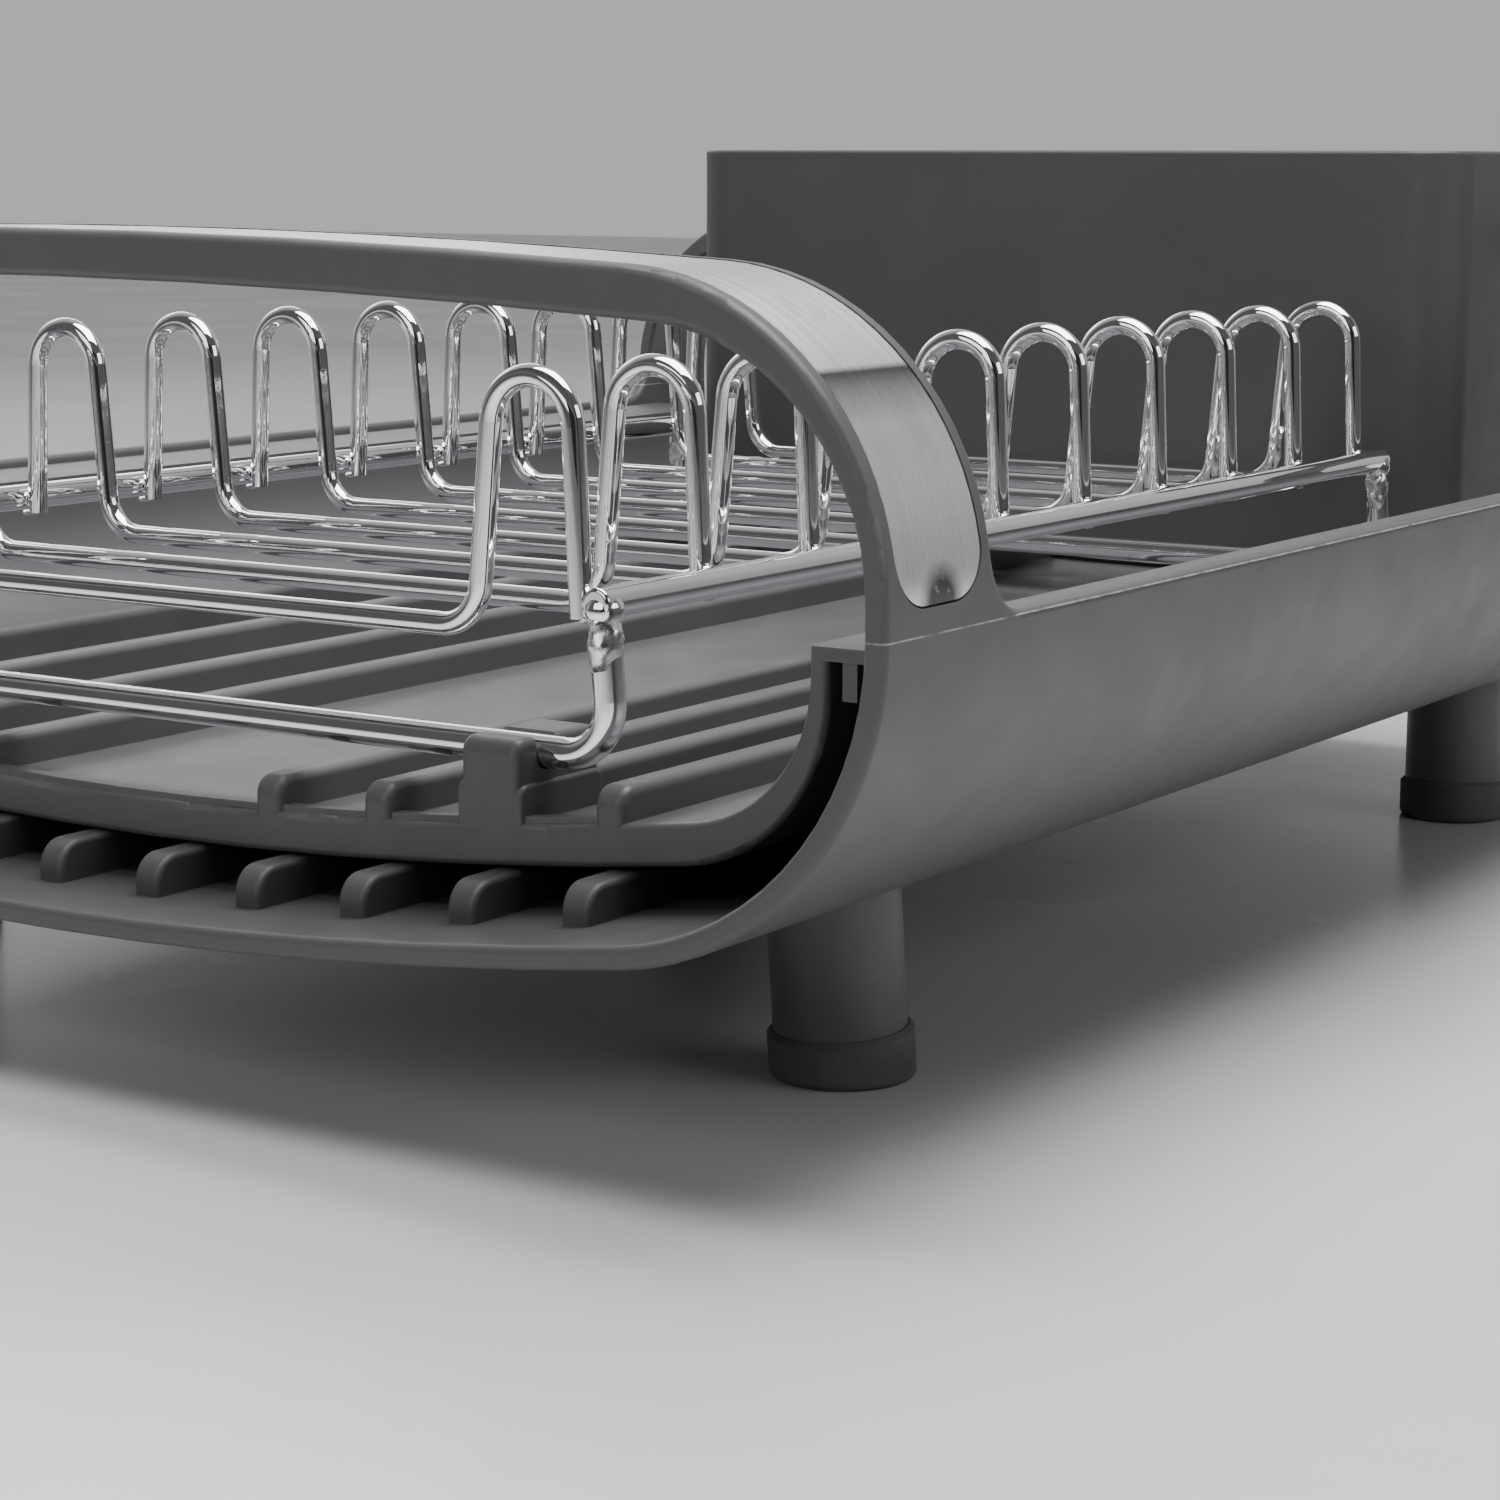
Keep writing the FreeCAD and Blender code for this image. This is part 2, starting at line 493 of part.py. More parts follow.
# ---------------------------------------------------------------- wire rack
def plate_wire(x):
    """One plate wire: leg, loop, cross run, loop and leg, all in the plane X = x."""
    a, b = math.radians(LOOP_OUTER_SPLAY), math.radians(LOOP_INNER_SPLAY)
    r = LOOP_RADIUS
    zc = RAIL_HEIGHT + LOOP_TOP_ABOVE_RAIL - r
    z_end, z_cross = RAIL_HEIGHT - LEG_END_DROP, RAIL_HEIGHT - CROSS_DROP
    yc = RACK_HALF_W - r * math.cos(a) - (zc + r * math.sin(a) - z_end) * math.tan(a)
    y_in, z_in = yc - r * math.cos(b), zc + r * math.sin(b)
    y_out, z_out = yc + r * math.cos(a), zc + r * math.sin(a)
    foot = y_in - (z_in - z_cross) * math.tan(b)
    turn = math.radians(90) - b
    t = CROSS_BEND_RADIUS * math.tan(turn / 2)
    bend_c = V(x, foot + t * math.sin(b) - CROSS_BEND_RADIUS * math.cos(b),
               z_cross + t * math.cos(b) + CROSS_BEND_RADIUS * math.sin(b))
    up = V(x, foot + t * math.sin(b), z_cross + t * math.cos(b))
    flat = V(x, foot - t, z_cross)
    centre = V(x, flat.y, z_cross + CROSS_BEND_RADIUS)
    diag = V(x, foot, z_cross) - centre
    mid = centre + diag.normalize() * CROSS_BEND_RADIUS
    half = [(V(x, RACK_HALF_W, z_end), None, V(x, y_out, z_out)),
            (V(x, y_out, z_out), V(x, yc, zc + r), V(x, y_in, z_in)),
            (V(x, y_in, z_in), None, up),
            (up, mid, flat)]
    def draw(p, m, q):
        return seg(p, q) if m is None else arc3(p, m, q)
    def flip(p):
        return None if p is None else V(p.x, -p.y, p.z)
    edges = [draw(*s) for s in half]
    edges.append(seg(flat, flip(flat)))
    edges += [draw(flip(q), flip(m), flip(p)) for p, m, q in reversed(half)]
    return sweep(edges, half[0][0], half[0][2] - half[0][0], PLATE_R)


def side_rail(side):
    """Straight side rail with a weld knob over each end wire."""
    y = side * RAIL_Y
    x0, x1 = END_WIRE_X[0] - FRAME_R, END_WIRE_X[1] + FRAME_R
    rail = Part.makeCylinder(FRAME_R, x1 - x0, V(x0, y, RAIL_HEIGHT), V(1, 0, 0))
    ends = [e for e in rail.Edges if e.BoundBox.XLength < 1e-6]
    rail = rail.makeFillet(RAIL_END_RADIUS, ends)
    for x in END_WIRE_X:
        rail = rail.fuse(Part.makeSphere(WELD_RADIUS, V(x, y, RAIL_HEIGHT - WELD_DROP)))
    return solid(rail)


def end_wire(x):
    """U of frame wire under the ends of both rails."""
    top = RAIL_HEIGHT - FRAME_R
    pts = [V(x, -RAIL_Y, top), V(x, -RAIL_Y - END_WIRE_SPLAY, LOWER_RAIL_Z),
           V(x, RAIL_Y + END_WIRE_SPLAY, LOWER_RAIL_Z), V(x, RAIL_Y, top)]
    return bent_wire(pts, [END_WIRE_BEND_RADIUS] * 2, FRAME_R)


# ---------------------------------------------------------------- caddy
def utensil_caddy():
    x0, x1 = CADDY_X0, CADDY_X0 + CADDY_DEPTH
    y = CADDY_HALF_W
    z0 = caddy_bottom()
    tub = box(x0, x1, -y, y, z0, CADDY_TOP)
    tub = tub.makeFillet(CADDY_CORNER_RADIUS, [e for e in tub.Edges if e.BoundBox.ZLength > 50])
    tub = tub.makeFillet(CADDY_BASE_RADIUS, [e for e in tub.Edges if abs(e.BoundBox.ZMax - z0) < 1e-6])
    w = CADDY_WALL
    hollow = box(x0 + w, x1 - w, -y + w, y - w, z0 + w, CADDY_TOP + 5)
    hollow = hollow.makeFillet(CADDY_CORNER_RADIUS - w,
                               [e for e in hollow.Edges if e.BoundBox.ZLength > 50])
    tub = tub.cut(hollow)
    tub = tub.makeFillet(CADDY_RIM_RADIUS, [e for e in tub.Edges if e.BoundBox.ZMin > CADDY_TOP - 1e-6])
    count = int(2 * (y - CADDY_CORNER_RADIUS) / CADDY_HOLE_PITCH)
    for i in range(count):
        hy = (i - (count - 1) / 2) * CADDY_HOLE_PITCH
        tub = tub.cut(Part.makeCylinder(CADDY_HOLE_D / 2, 3 * w, V((x0 + x1) / 2, hy, z0 - w)))
    return tub


def caddy_bottom():
    """The caddy stands on the highest ribs of the drainboard."""
    return floor_at(board_rib_ys()[-1]) + BOARD_RIB_HEIGHT + CADDY_REST_GAP


# ---------------------------------------------------------------- legs
def leg_axis(sx, sy):
    """Upward direction of one leg."""
    return V(sx * math.tan(math.radians(LEG_LEAN_X)),
             -sy * math.tan(math.radians(LEG_LEAN_Y)), 1).normalize()


def below(foot, z):
    """Block under height z that trims the bottom of one leg or cap level with the worktop."""
    return box(foot.x - CAP_D, foot.x + CAP_D, foot.y - CAP_D, foot.y + CAP_D, -CAP_D, z)


def leg(sx, sy):
    axis = leg_axis(sx, sy)
    foot = V(sx * LEG_X, sy * LEG_Y, 0)
    length = GROUND_CLEARANCE + LEG_START
    bar = Part.makeCylinder(LEG_D / 2, length, foot - axis * CAP_D / 2, axis)
    return bar.cut(below(foot, CAP_SOLE)).cut(shell_block(0, -HALF_L, HALF_L))


def foot_cap(sx, sy):
    axis = leg_axis(sx, sy)
    foot = V(sx * LEG_X, sy * LEG_Y, 0)
    cup = Part.makeCylinder(CAP_D / 2, CAP_HEIGHT + CAP_D / 2, foot - axis * CAP_D / 2, axis)
    top = [e for e in cup.Edges if e.BoundBox.ZMin > CAP_HEIGHT / 2]
    cup = cup.makeChamfer(CAP_TOP_CHAMFER, top).cut(below(foot, 0))
    sole = [e for e in cup.Edges if e.BoundBox.ZMax < 1e-4]
    cup = cup.makeFillet(CAP_SOLE_RADIUS, sole)
    return cup.cut(leg(sx, sy))


# ---------------------------------------------------------------- build
def main():
    os.makedirs("parts", exist_ok=True)
    save("outer_shell", outer_shell())
    save("handle_insert_left", handle_band(-1, False))
    save("handle_insert_right", handle_band(1, False))
    save("drainboard", drainboard())
    for i in range(PLATE_WIRE_COUNT):
        save("plate_wire_%02d" % (i + 1), plate_wire(FIRST_WIRE_X + i * PLATE_PITCH))
    save("rack_front_rail", side_rail(-1))
    save("rack_back_rail", side_rail(1))
    save("rack_left_end_wire", end_wire(END_WIRE_X[0]))
    save("rack_right_end_wire", end_wire(END_WIRE_X[1]))
    save("utensil_caddy", utensil_caddy())
    for sx, along in ((-1, "left"), (1, "right")):
        for sy, across in ((-1, "front"), (1, "back")):
            save("leg_%s_%s" % (across, along), leg(sx, sy))
            save("foot_cap_%s_%s" % (across, along), foot_cap(sx, sy))


main()
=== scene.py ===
import json
import math

import bpy
import bmesh
from mathutils import Matrix, Vector, noise


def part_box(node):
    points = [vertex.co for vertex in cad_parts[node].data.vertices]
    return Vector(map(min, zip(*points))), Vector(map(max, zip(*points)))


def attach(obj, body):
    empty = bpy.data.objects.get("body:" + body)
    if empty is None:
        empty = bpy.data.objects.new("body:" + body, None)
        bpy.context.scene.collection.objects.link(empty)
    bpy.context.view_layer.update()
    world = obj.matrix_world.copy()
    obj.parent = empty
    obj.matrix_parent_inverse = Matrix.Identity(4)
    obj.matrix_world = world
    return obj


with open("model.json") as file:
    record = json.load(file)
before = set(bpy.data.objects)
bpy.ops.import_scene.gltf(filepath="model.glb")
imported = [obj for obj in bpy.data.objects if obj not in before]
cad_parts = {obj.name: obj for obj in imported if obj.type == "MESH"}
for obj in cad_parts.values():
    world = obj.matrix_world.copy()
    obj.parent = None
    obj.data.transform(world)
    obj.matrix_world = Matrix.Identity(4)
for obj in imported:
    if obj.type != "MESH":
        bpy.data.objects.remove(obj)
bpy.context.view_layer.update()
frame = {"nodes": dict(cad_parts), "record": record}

MM = 0.001

# places on the rack, in metres
MOULD_LINE_Z = 105.8 * MM              # height of the mould line round the shell
SEAM_FADE, SEAM_HALF = 0.22 * MM, 0.08 * MM     # from its middle: quite faded, still full
OUTER_SKIN_Y = 195.5 * MM              # only the outermost skin of the shell shows the seam
BAND_TOP, BAND_FOOT = 148.4 * MM, 140.0 * MM    # painted dark reflection band across each brushed strip
BAND_EDGE = 1.0 * MM
REFLECTION_SPOT_MIDDLE = (0.2500, 0.1995, 0.1105)   # painted dark reflection spot at the lower end of a strip, mirrored into all four corners
REFLECTION_SPOT_OUTER, REFLECTION_SPOT_INNER = 7.8 * MM, 4.0 * MM     # from its middle: quite faded, still full

BLOB_SIDES, LINE_SIDES = 14, 6         # corners of a ring of a weld lump and of the mould line

# ------------------------------------------------------------------ shader helpers
def fresh(name):
    """A material with only a Principled shader and an output; returns (material, tree, shader)."""
    mat = bpy.data.materials.new(name)
    mat.use_nodes = True
    tree = mat.node_tree
    tree.nodes.clear()
    out = tree.nodes.new("ShaderNodeOutputMaterial")
    shader = tree.nodes.new("ShaderNodeBsdfPrincipled")
    tree.links.new(shader.outputs["BSDF"], out.inputs["Surface"])
    return mat, tree, shader


def coords(tree, scale=(1.0, 1.0, 1.0)):
    """Object coordinates, in metres, stretched by scale along each axis."""
    tex = tree.nodes.new("ShaderNodeTexCoord")
    mapping = tree.nodes.new("ShaderNodeMapping")
    mapping.inputs["Scale"].default_value = scale
    tree.links.new(tex.outputs["Object"], mapping.inputs["Vector"])
    return mapping.outputs["Vector"]


def mirrored(tree):
    """Object coordinates with their signs dropped, so one place stands for all four corners."""
    node = tree.nodes.new("ShaderNodeVectorMath")
    node.operation = "ABSOLUTE"
    tree.links.new(coords(tree), node.inputs[0])
    return node.outputs["Vector"]


def axis_of(tree, vector, axis):
    """One of X, Y and Z of a vector output."""
    split = tree.nodes.new("ShaderNodeSeparateXYZ")
    tree.links.new(vector, split.inputs["Vector"])
    return split.outputs[axis]


def cloud(tree, scale, detail=3.0, rough=0.55):
    """Noise value whose features are about 1/scale metres wide; scale is one number or three."""
    if not hasattr(scale, "__len__"):
        scale = (scale,) * 3
    node = tree.nodes.new("ShaderNodeTexNoise")
    node.inputs["Scale"].default_value = 1.0
    node.inputs["Detail"].default_value = detail
    node.inputs["Roughness"].default_value = rough
    tree.links.new(coords(tree, scale), node.inputs["Vector"])
    return node.outputs["Fac"]


def spread(tree, value, low, high, to_low=0.0, to_high=1.0):
    """Remaps low..high of a value to to_low..to_high, clamped."""
    node = tree.nodes.new("ShaderNodeMapRange")
    node.inputs["From Min"].default_value = low
    node.inputs["From Max"].default_value = high
    node.inputs["To Min"].default_value = to_low
    node.inputs["To Max"].default_value = to_high
    tree.links.new(value, node.inputs["Value"])
    return node.outputs["Result"]


def mixed(tree, factor, a, b):
    """Colour a where the factor is 0 and b where it is 1; each is a colour or another output."""
    node = tree.nodes.new("ShaderNodeMix")
    node.data_type = "RGBA"
    tree.links.new(factor, node.inputs["Factor"])
    for socket, value in ((node.inputs[6], a), (node.inputs[7], b)):
        if isinstance(value, bpy.types.NodeSocket):
            tree.links.new(value, socket)
        else:
            socket.default_value = (*value, 1.0)
    return node.outputs[2]


def product(tree, a, b):
    """One value times another."""
    node = tree.nodes.new("ShaderNodeMath")
    node.operation = "MULTIPLY"
    tree.links.new(a, node.inputs[0])
    tree.links.new(b, node.inputs[1])
    return node.outputs[0]


def add_bump(tree, shader, heights):
    """Chains bump nodes; heights is a list of (value, strength, distance in metres)."""
    normal = None
    for value, strength, distance in heights:
        node = tree.nodes.new("ShaderNodeBump")
        node.inputs["Strength"].default_value = strength
        node.inputs["Distance"].default_value = distance
        tree.links.new(value, node.inputs["Height"])
        if normal is not None:
            tree.links.new(normal, node.inputs["Normal"])
        normal = node.outputs["Normal"]
    tree.links.new(normal, shader.inputs["Normal"])


def edge_mask(tree, radius):
    """1 on sharp edges narrower than radius, 0 on open faces."""
    bevel = tree.nodes.new("ShaderNodeBevel")
    bevel.samples = 4
    bevel.inputs["Radius"].default_value = radius
    geometry = tree.nodes.new("ShaderNodeNewGeometry")
    dot = tree.nodes.new("ShaderNodeVectorMath")
    dot.operation = "DOT_PRODUCT"
    tree.links.new(bevel.outputs["Normal"], dot.inputs[0])
    tree.links.new(geometry.outputs["Normal"], dot.inputs[1])
    return spread(tree, dot.outputs["Value"], 0.995, 0.93)


# ------------------------------------------------------------------ materials
def seam_mask(tree):
    """1 on a hair-thin, broken line round the outside of the shell, where the mould halves met."""
    place = mirrored(tree)
    z = axis_of(tree, place, "Z")
    below = spread(tree, z, MOULD_LINE_Z - SEAM_FADE, MOULD_LINE_Z - SEAM_HALF)
    above = spread(tree, z, MOULD_LINE_Z + SEAM_FADE, MOULD_LINE_Z + SEAM_HALF)
    outside = spread(tree, axis_of(tree, place, "Y"), OUTER_SKIN_Y, OUTER_SKIN_Y + 0.5 * MM)
    broken = spread(tree, cloud(tree, 160.0, 4.0, 0.7), 0.36, 0.54)
    return product(tree, product(tree, below, above), product(tree, outside, broken))


def scaled(colour, factor):
    """The colour made brighter or darker, held at 1."""
    return tuple(min(1.0, c * factor) for c in colour)


def moulded_plastic(name, colour, roughness, seam=False):
    """Matte moulded plastic: slow tone drift, fine grain, rubbed marks and paler worn edges."""
    mat, tree, shader = fresh(name)
    drift = spread(tree, cloud(tree, 14.0, 4.0), 0.32, 0.68)
    base = mixed(tree, drift, scaled(colour, 0.93), scaled(colour, 1.07))
    rubbed = spread(tree, cloud(tree, (9.0, 160.0, 130.0), 5.0, 0.7), 0.60, 0.78)
    base = mixed(tree, rubbed, base, scaled(colour, 1.16))
    nicked = spread(tree, cloud(tree, 210.0, 4.0, 0.7), 0.42, 0.66)
    edges = product(tree, edge_mask(tree, 0.9 * MM), nicked)
    base = mixed(tree, edges, base, scaled(colour, 1.55))
    if seam:
        base = mixed(tree, seam_mask(tree), base, scaled(colour, 4.5))
    tree.links.new(base, shader.inputs["Base Color"])
    sheen = spread(tree, cloud(tree, 60.0, 5.0, 0.6), 0.3, 0.7, roughness - 0.05, roughness + 0.06)
    tree.links.new(sheen, shader.inputs["Roughness"])
    shader.inputs["Specular IOR Level"].default_value = 0.45
    add_bump(tree, shader, [(cloud(tree, 2600.0, 2.0), 0.16, 0.06 * MM),
                            (cloud(tree, 55.0, 2.0), 0.10, 0.30 * MM)])
    return mat


def chrome():
    """Bright plate with faint smears and a slightly uneven skin."""
    mat, tree, shader = fresh("chrome_plate")
    tone = spread(tree, cloud(tree, 45.0, 4.0), 0.3, 0.7)
    tone = mixed(tree, tone, (0.90, 0.905, 0.92), (0.97, 0.972, 0.98))
    tree.links.new(tone, shader.inputs["Base Color"])
    shader.inputs["Metallic"].default_value = 1.0
    smear = spread(tree, cloud(tree, (90.0, 240.0, 90.0), 5.0, 0.65), 0.50, 0.85, 0.02, 0.09)
    tree.links.new(smear, shader.inputs["Roughness"])
    add_bump(tree, shader, [(cloud(tree, 900.0, 3.0), 0.03, 0.03 * MM),
                            (cloud(tree, 40.0, 2.0), 0.03, 0.10 * MM)])
    return mat


def weld_metal():
    """Plated weld: brighter, rougher and pitted."""
    mat, tree, shader = fresh("weld_bead")
    tone = spread(tree, cloud(tree, 420.0, 4.0), 0.35, 0.65)
    tone = mixed(tree, tone, (0.70, 0.70, 0.71), (0.95, 0.95, 0.95))
    tree.links.new(tone, shader.inputs["Base Color"])
    shader.inputs["Metallic"].default_value = 1.0
    pitted = spread(tree, cloud(tree, 700.0, 3.0), 0.3, 0.7, 0.14, 0.34)
    tree.links.new(pitted, shader.inputs["Roughness"])
    add_bump(tree, shader, [(cloud(tree, 1100.0, 3.0), 0.5, 0.18 * MM)])
    return mat


def painted_reflection_spot(tree):
    """1 in a small spot at the lower ends of the brushed strips, where a dark reflection is
    painted.
    """
    distance = tree.nodes.new("ShaderNodeVectorMath")
    distance.operation = "DISTANCE"
    distance.inputs[1].default_value = REFLECTION_SPOT_MIDDLE
    tree.links.new(mirrored(tree), distance.inputs[0])
    return spread(tree, distance.outputs["Value"], REFLECTION_SPOT_OUTER, REFLECTION_SPOT_INNER)


def painted_reflection_band(tree):
    """Painted dark reflection band across the strips: a sharp upper edge, fading out downwards."""
    z = axis_of(tree, coords(tree), "Z")
    return product(tree, spread(tree, z, BAND_TOP + BAND_EDGE, BAND_TOP),
                   spread(tree, z, BAND_FOOT, BAND_TOP, 0.0, 0.95))


def brushed_steel():
    """Brushing runs round the handle, so the streaks are fine along X and long in the YZ plane."""
    mat, tree, shader = fresh("brushed_steel")
    fine = cloud(tree, (5200.0, 22.0, 22.0), 3.0, 0.6)
    broad = cloud(tree, (900.0, 9.0, 9.0), 4.0, 0.6)
    blotch = cloud(tree, 60.0, 4.0, 0.6)
    streaks = spread(tree, broad, 0.35, 0.65)
    tone = mixed(tree, streaks, (0.90, 0.897, 0.90), (0.98, 0.978, 0.98))
    tone = mixed(tree, spread(tree, blotch, 0.58, 0.75), tone, (0.80, 0.795, 0.79))
    # painted dark reflection: a dark spot at the lower ends of the strips, broken up by noise
    spot_breakup = spread(tree, cloud(tree, (420.0, 140.0, 420.0), 4.0, 0.7), 0.20, 0.42)
    tone = mixed(tree, product(tree, painted_reflection_spot(tree), spot_breakup), tone, (0.10, 0.10, 0.10))
    # painted dark reflection: a near-black band across the strips, set by height
    tone = mixed(tree, painted_reflection_band(tree), tone, (0.03, 0.031, 0.034))
    tree.links.new(tone, shader.inputs["Base Color"])
    shader.inputs["Metallic"].default_value = 1.0
    tree.links.new(spread(tree, fine, 0.3, 0.7, 0.20, 0.31), shader.inputs["Roughness"])
    shader.inputs["Anisotropic"].default_value = 0.55
    shader.inputs["Anisotropic Rotation"].default_value = 0.25
    tangent = tree.nodes.new("ShaderNodeTangent")
    tangent.direction_type = "RADIAL"
    tangent.axis = "X"
    tree.links.new(tangent.outputs["Tangent"], shader.inputs["Tangent"])
    add_bump(tree, shader, [(fine, 0.10, 0.03 * MM), (broad, 0.03, 0.05 * MM)])
    return mat


def cap_rubber():
    """Soft dark rubber with a little dust."""
    mat, tree, shader = fresh("cap_rubber")
    tone = spread(tree, cloud(tree, 70.0, 5.0, 0.7), 0.3, 0.7)
    base = mixed(tree, tone, (0.082, 0.078, 0.087), (0.116, 0.110, 0.121))
    dust = spread(tree, cloud(tree, 520.0, 4.0, 0.7), 0.62, 0.80)
    base = mixed(tree, dust, base, (0.125, 0.120, 0.125))
    tree.links.new(base, shader.inputs["Base Color"])
    dull = spread(tree, cloud(tree, 130.0, 3.0), 0.3, 0.7, 0.62, 0.78)
    tree.links.new(dull, shader.inputs["Roughness"])
    add_bump(tree, shader, [(cloud(tree, 1900.0, 3.0), 0.25, 0.10 * MM)])
    return mat


def floor_finish():
    """Plain pale worktop with a soft sheen."""
    mat, tree, shader = fresh("worktop")
    tone = spread(tree, cloud(tree, 2.2, 5.0, 0.6), 0.35, 0.65)
    tone = mixed(tree, tone, (0.58, 0.58, 0.58), (0.67, 0.67, 0.67))
    tree.links.new(tone, shader.inputs["Base Color"])
    sheen = spread(tree, cloud(tree, 6.0, 4.0), 0.3, 0.7, 0.20, 0.30)
    tree.links.new(sheen, shader.inputs["Roughness"])
    add_bump(tree, shader, [(cloud(tree, 25.0, 2.0), 0.05, 0.3 * MM)])
    return mat


# ------------------------------------------------------------------ mesh helpers
def rings_mesh(name, centres, radii, sides, lump, grain, seed):
    """Closed tube through the centres, its own radius at each, its skin pushed about by noise."""
    bm = bmesh.new()
    rings = []
    offset = Vector((seed * 3.7, seed * 1.3, seed * 2.9))
    for i, (c, r) in enumerate(zip(centres, radii)):
        ahead = centres[min(i + 1, len(centres) - 1)] - centres[max(i - 1, 0)]
        side = ahead.orthogonal() if i == 0 else side - side.project(ahead)
        side.normalize()
        up = ahead.normalized().cross(side)
        ring = []
        for k in range(sides):
            a = 2 * math.pi * k / sides
            out = side * math.cos(a) + up * math.sin(a)
            wobble = 1 + lump * noise.noise((c + out * r) * grain + offset)
            ring.append(bm.verts.new(c + out * r * wobble))
        rings.append(ring)
    for a, b in zip(rings, rings[1:]):
        for k in range(sides):
            bm.faces.new((a[k], a[(k + 1) % sides], b[(k + 1) % sides], b[k]))
    bm.faces.new(list(reversed(rings[0])))
    bm.faces.new(rings[-1])
    bmesh.ops.recalc_face_normals(bm, faces=bm.faces[:])
    mesh = bpy.data.meshes.new(name)
    bm.to_mesh(mesh)
    bm.free()
    return mesh


def add_piece(name, mesh, body, material, levels=1):
    """Visual piece made of this mesh, riding on a body."""
    obj = bpy.data.objects.new(name, mesh)
    bpy.context.scene.collection.objects.link(obj)
    mesh.materials.append(material)
    for face in mesh.polygons:
        face.use_smooth = True
    if levels:
        soft = obj.modifiers.new("smooth", "SUBSURF")
        soft.levels = soft.render_levels = levels
    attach(obj, body)


def joined(name, meshes):
    """One mesh from several."""
    bm = bmesh.new()
    for m in meshes:
        bm.from_mesh(m)
        bpy.data.meshes.remove(m)
    mesh = bpy.data.meshes.new(name)
    bm.to_mesh(mesh)
    bm.free()
    return mesh


def blob(a, b, r, seed, lump, grain, steps):
    """Rounded lump from a to b."""
    centres, radii = [], []
    for i in range(steps):
        t = i / (steps - 1)
        s = 0.5 - 0.5 * math.cos(math.pi * t)
        centres.append(a.lerp(b, s))
        radii.append(r * max(0.12, math.sin(math.pi * (0.04 + 0.92 * s)) ** 0.5))
    return rings_mesh("blob", centres, radii, BLOB_SIDES, lump, grain, seed)


# ------------------------------------------------------------------ finishes on the CAD nodes
SHELL_FINISH = moulded_plastic("shell_plastic", (0.067, 0.067, 0.069), 0.44, seam=True)
WELD_FINISH = weld_metal()
FINISH = {
    "shell_plastic": SHELL_FINISH,
    "board_plastic": moulded_plastic("board_plastic", (0.090, 0.090, 0.095), 0.40),
    "caddy_plastic": moulded_plastic("caddy_plastic", (0.052, 0.052, 0.054), 0.48),
    "leg_plastic": moulded_plastic("leg_plastic", (0.104, 0.104, 0.108), 0.45),
    "chrome_wire": chrome(),
    "brushed_insert": brushed_steel(),
    "cap_rubber": cap_rubber(),
}
for part in frame["record"]["subparts"]:
    node = frame["nodes"][part["node"]]
    node.data.materials.clear()
    node.data.materials.append(FINISH[part["material_slot"]])

# ------------------------------------------------------------------ welds on the wire rack
# each lump: its start and end, as steps along X, outwards and up from the middle of the rail where
# a wire meets it, then radius, seed step, lumpiness, grain and number of rings; lengths in mm
CORNER_LUMPS = (
    ((-3.4, 0.0, 0.2), (3.6, 0.0, -1.0), 3.5, 0, 0.55, 420.0, 12),
    ((-0.6, 0.4, 1.0), (-1.1, 0.8, -13.5), 3.3, 2, 0.60, 360.0, 18),
    ((1.4, 0.6, -2.0), (1.8, 0.6, -8.6), 2.5, 3, 0.60, 420.0, 12),
)
NUGGET = ((-3.1, -3.2, -2.2), (3.1, -3.2, -2.0), 1.0, 0, 0.10, 300.0, 7)
PLATE_WIRE_COUNT = 10


def lump(spot, out, seed, shape):
    """One weld lump beside a spot on a rail; out is the outward direction along Y."""
    start, end, radius, step, lumpiness, grain, rings = shape
    a, b = (spot + Vector((p[0], out * p[1], p[2])) * MM for p in (start, end))
    return blob(a, b, radius * MM, seed + step, lumpiness, grain, rings)


def middle(node):
    """Middle of a node's box."""
    low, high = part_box(node)
    return (low + high) / 2


for side, out in (("front", -1), ("back", 1)):
    rail = middle("rack_%s_rail" % side)
    for end in ("left", "right"):
        corner = Vector((middle("rack_%s_end_wire" % end).x, rail.y, rail.z))
        seed = 11 + 5 * (side == "back") + 9 * (end == "right")
        mesh = joined("weld", [lump(corner, out, seed, shape) for shape in CORNER_LUMPS])
        add_piece("weld_%s_%s" % (side, end), mesh, "wire_rack", WELD_FINISH)
    nuggets = []
    for i in range(1, PLATE_WIRE_COUNT + 1):
        spot = Vector((middle("plate_wire_%02d" % i).x, rail.y, rail.z))
        nuggets.append(lump(spot, out, 40 + i, NUGGET))
    add_piece("weld_nuggets_%s" % side, joined("nuggets", nuggets), "wire_rack",
              WELD_FINISH)

# ------------------------------------------------------------------ mould line on the shell
LINE_RADIUS = 0.14 * MM
LINE_SUNK = 0.15 * MM                  # middle of the line below the skin
LINE_STEP = 2.3 * MM
MOUTH_SETBACK = 1.8 * MM               # keeps the line off the rounded mouths
HOOP_FOOT = 31.0 * MM                  # how far the line runs across a hoop at the back


def mould_line(x0, x1, y):
    """Hair-thin raised seam along the shell at the height where its two halves meet."""
    count = max(8, int((x1 - x0) / LINE_STEP))
    centres = [Vector((x0 + (x1 - x0) * i / count, y, MOULD_LINE_Z)) for i in range(count + 1)]
    radii = [LINE_RADIUS * (1 + 0.3 * noise.noise(c * 90.0)) for c in centres]
    return rings_mesh("line", centres, radii, LINE_SIDES, 0.2, 900.0, 3)


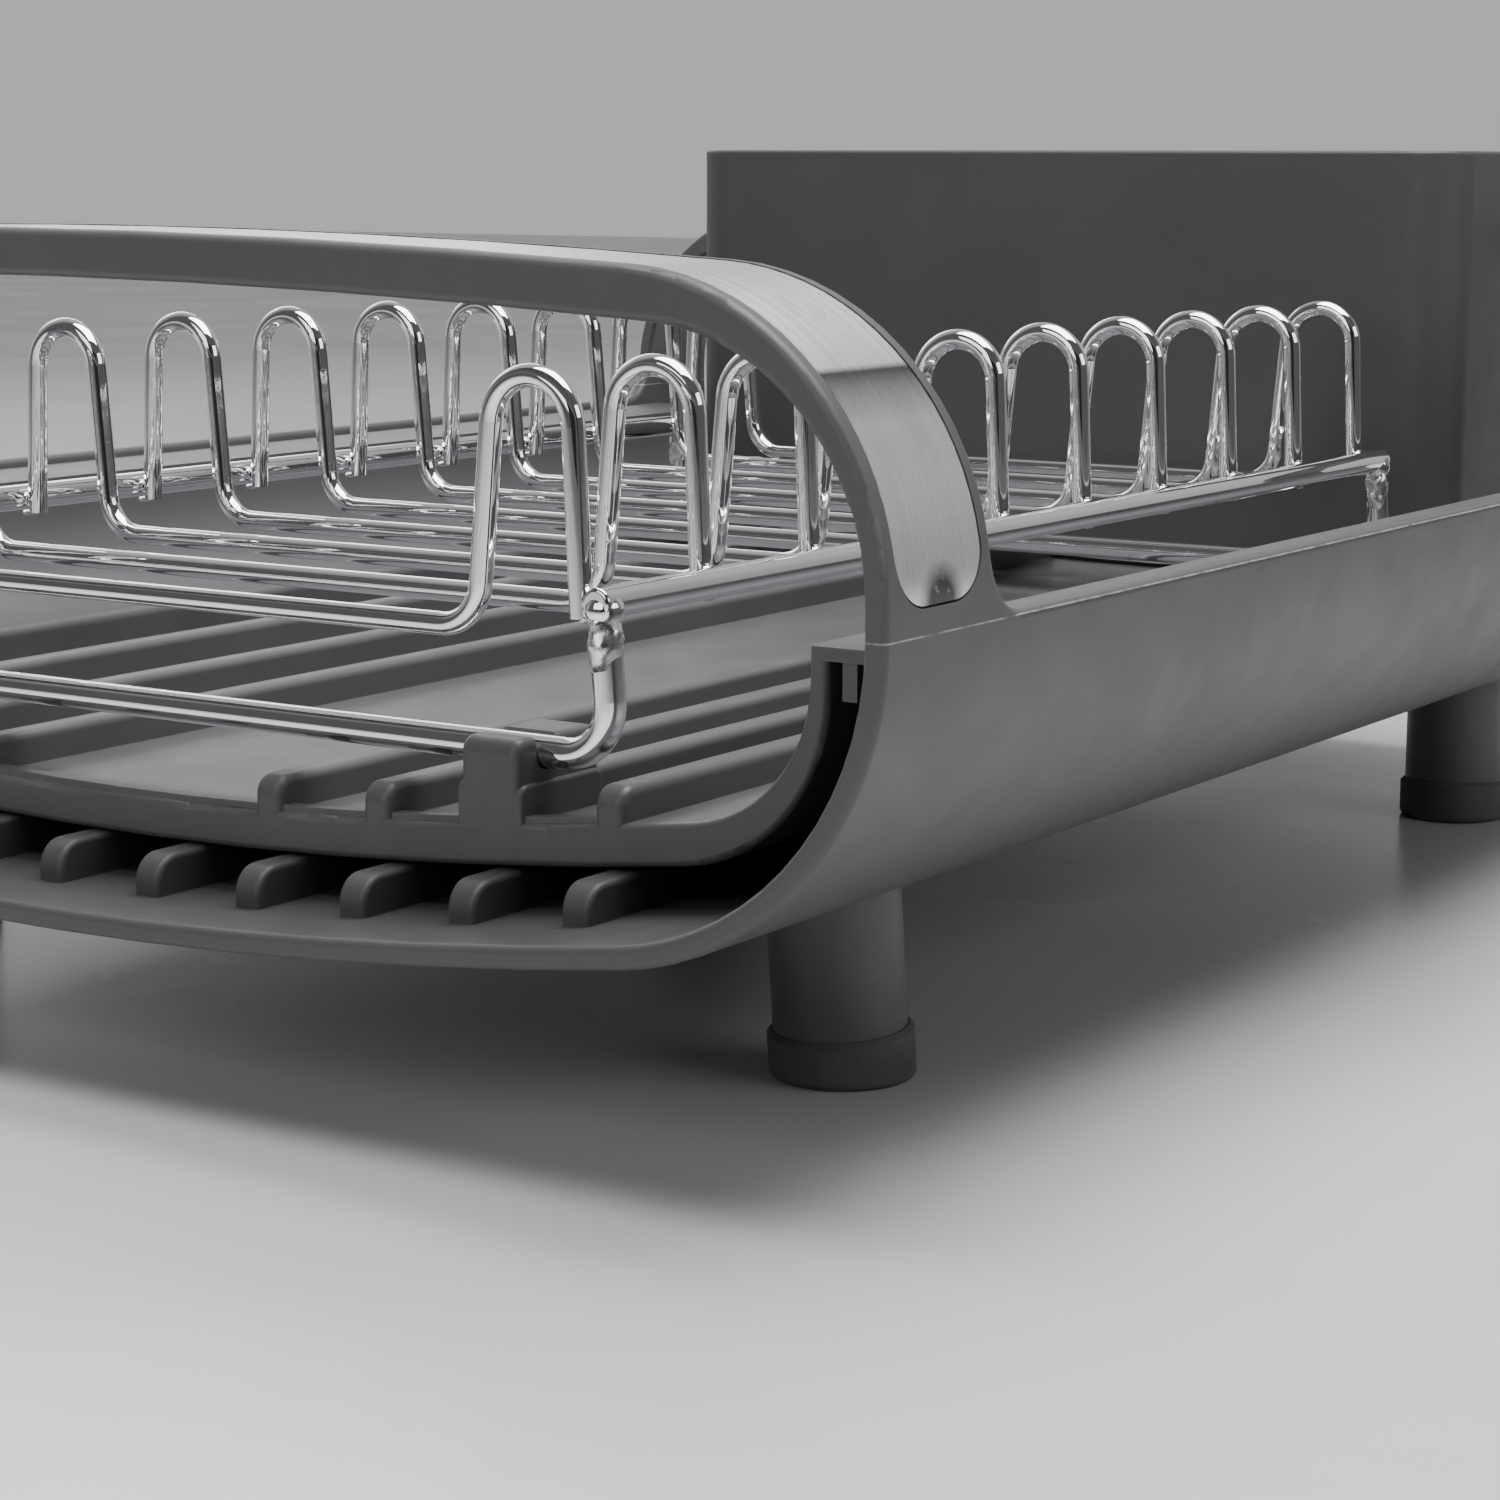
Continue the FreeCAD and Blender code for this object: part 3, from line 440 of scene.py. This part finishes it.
shell_low, shell_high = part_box("outer_shell")
shell_x0, shell_x1 = shell_low.x + MOUTH_SETBACK, shell_high.x - MOUTH_SETBACK
front_line = mould_line(shell_x0, shell_x1, shell_low.y + LINE_SUNK)
back_y = shell_high.y - LINE_SUNK
back_line = joined("line", [mould_line(shell_x0, shell_x0 + HOOP_FOOT, back_y),
                            mould_line(shell_x1 - HOOP_FOOT, shell_x1, back_y)])
add_piece("mould_line_front", front_line, "shell", SHELL_FINISH, 0)
add_piece("mould_line_back", back_line, "shell", SHELL_FINISH, 0)

# ------------------------------------------------------------------ floor, lights and camera
def stage_grid(name, size, cuts, material):
    """Flat square sheet on the stage, for the worktop and the dark card; size is half its side."""
    bm = bmesh.new()
    bmesh.ops.create_grid(bm, x_segments=cuts, y_segments=cuts, size=size)
    mesh = bpy.data.meshes.new(name)
    bm.to_mesh(mesh)
    bm.free()
    obj = bpy.data.objects.new(name, mesh)
    mesh.materials.append(material)
    bpy.context.scene.collection.objects.link(obj)
    return obj


def aimed(obj, place, target, forward):
    """Puts an object at a place with its forward axis towards the target."""
    obj.location = place
    obj.rotation_mode = "QUATERNION"
    obj.rotation_quaternion = (Vector(target) - Vector(place)).to_track_quat(forward, "Y")


def soft_light(name, place, target, width, height, watts):
    """Rectangular area light aimed at the target."""
    data = bpy.data.lights.new(name, "AREA")
    data.shape = "RECTANGLE"
    data.size, data.size_y = width, height
    data.energy = watts
    obj = bpy.data.objects.new(name, data)
    aimed(obj, place, target, "-Z")
    bpy.context.scene.collection.objects.link(obj)


def dark_card(name, place, target, width, height):
    """Black flag that only reflections see."""
    mat, _, shader = fresh(name)
    shader.inputs["Base Color"].default_value = (0.01, 0.01, 0.01, 1.0)
    shader.inputs["Roughness"].default_value = 0.9
    obj = stage_grid(name, 0.5, 2, mat)
    obj.scale = (width, height, 1.0)
    aimed(obj, place, target, "Z")
    obj.visible_camera = False
    obj.visible_shadow = False
    obj.visible_diffuse = False


def studio_world(back, dim, bright):
    """Surroundings that are pale towards the back of the studio and dim behind the camera."""
    world = bpy.data.worlds.new("studio")
    world.use_nodes = True
    tree = world.node_tree
    ground = tree.nodes["Background"]
    tex = tree.nodes.new("ShaderNodeTexCoord")
    dot = tree.nodes.new("ShaderNodeVectorMath")
    dot.operation = "DOT_PRODUCT"
    dot.inputs[1].default_value = Vector(back).normalized()
    tree.links.new(tex.outputs["Generated"], dot.inputs[0])
    tone = spread(tree, dot.outputs["Value"], 0.05, 0.60, dim, bright)
    tree.links.new(tone, ground.inputs["Color"])
    ground.inputs["Strength"].default_value = 1.0
    bpy.context.scene.world = world


BACK_OF_STUDIO = (0.75, 0.55, 0.12)    # direction of the pale surroundings
stage_grid("worktop", 6.0, 4, floor_finish())
studio_world(BACK_OF_STUDIO, 0.09, 0.50)

# name, place, target, width, height, watts
for light in (
    ("key_top", (-0.05, -0.15, 1.20), (0.0, 0.0, 0.05), 1.3, 1.0, 36.0),
    ("key_side", (0.10, -1.50, 0.75), (0.0, 0.0, 0.08), 1.2, 0.5, 4.5),
    ("fill_front", (-1.70, 0.10, 0.85), (0.0, 0.0, 0.05), 1.3, 0.8, 7.0),
    ("rim_back", (0.90, 1.60, 1.00), (0.0, 0.0, 0.10), 1.6, 0.8, 9.0),
):
    soft_light(*light)
dark_card("flag_camera", (-1.60, -1.05, 0.55), (0.0, 0.0, 0.1), 1.3, 1.0)

CAMERA_PLACE = (-0.72743, -0.47469, 0.18263)
YAW, PITCH, ROLL = math.radians(33.1865), math.radians(9.9825), math.radians(0.187)
LENS_MM, SENSOR_MM = 80.335, 36.0
look = Vector((math.cos(YAW) * math.cos(PITCH), math.sin(YAW) * math.cos(PITCH), -math.sin(PITCH)))
level = Vector((math.sin(YAW), -math.cos(YAW), 0.0))
upright = level.cross(look)
right = level * math.cos(ROLL) + upright * math.sin(ROLL)
up = upright * math.cos(ROLL) - level * math.sin(ROLL)
lens = bpy.data.cameras.new("camera")
lens.lens, lens.sensor_width = LENS_MM, SENSOR_MM
lens.clip_start, lens.clip_end = 0.01, 60.0
camera = bpy.data.objects.new("camera", lens)
camera.matrix_world = Matrix((
    (right.x, up.x, -look.x, CAMERA_PLACE[0]),
    (right.y, up.y, -look.y, CAMERA_PLACE[1]),
    (right.z, up.z, -look.z, CAMERA_PLACE[2]),
    (0.0, 0.0, 0.0, 1.0)))
bpy.context.scene.collection.objects.link(camera)
bpy.context.scene.camera = camera
